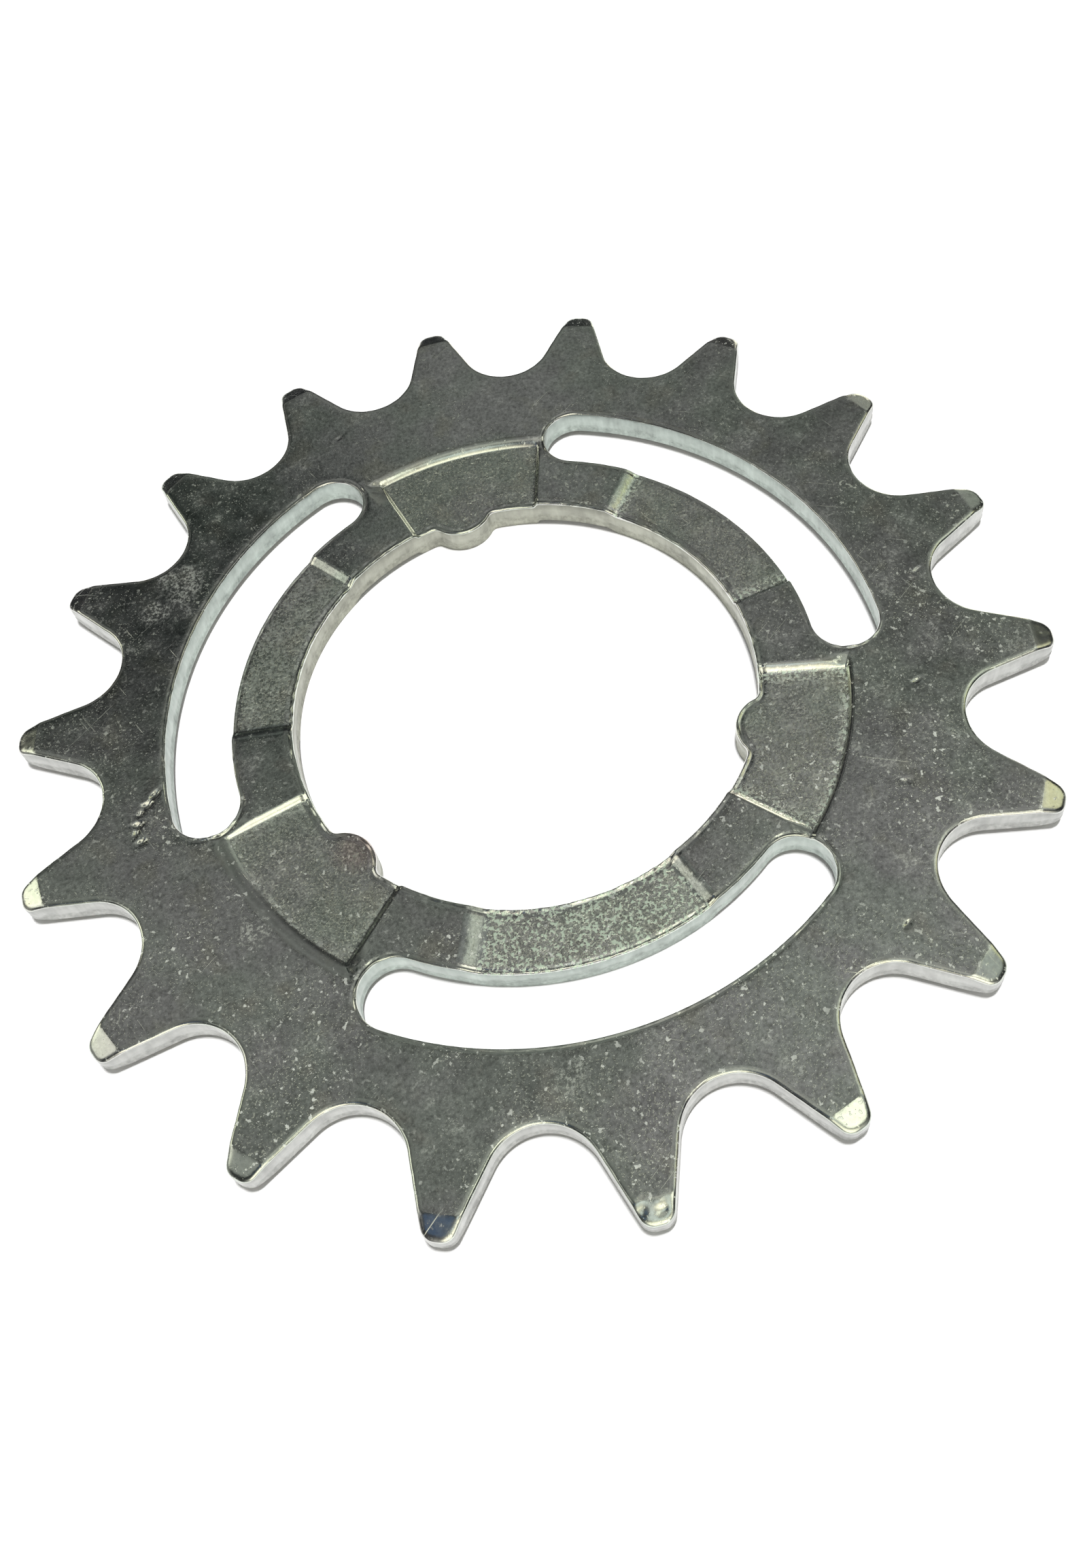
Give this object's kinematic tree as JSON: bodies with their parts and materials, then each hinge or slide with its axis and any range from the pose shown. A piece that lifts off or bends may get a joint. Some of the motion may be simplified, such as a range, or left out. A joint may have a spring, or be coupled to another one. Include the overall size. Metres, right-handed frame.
{
  "type": "hub gear sprocket",
  "caption": "Flat steel sprocket for a bicycle hub gear, with a three-lug bore, three long curved slots and pressed-down sectors round the bore.",
  "frame": {"origin": "on the bore's axis, at the level of the pressed sectors' undersides, which rest on the driver's flange", "axes": "+Z along the bore's axis, out of the face with the sunken sectors; +Y through the middle of a tooth"},
  "size_m": [0.0784, 0.0796, 0.0027],
  "materials": {
    "zinc_plated_steel": "bright zinc plating over pressed steel, satin, with burnished and torn edges"
  },
  "bodies": {
    "root": {"sprocket": "zinc_plated_steel"}
  },
  "joints": []
}
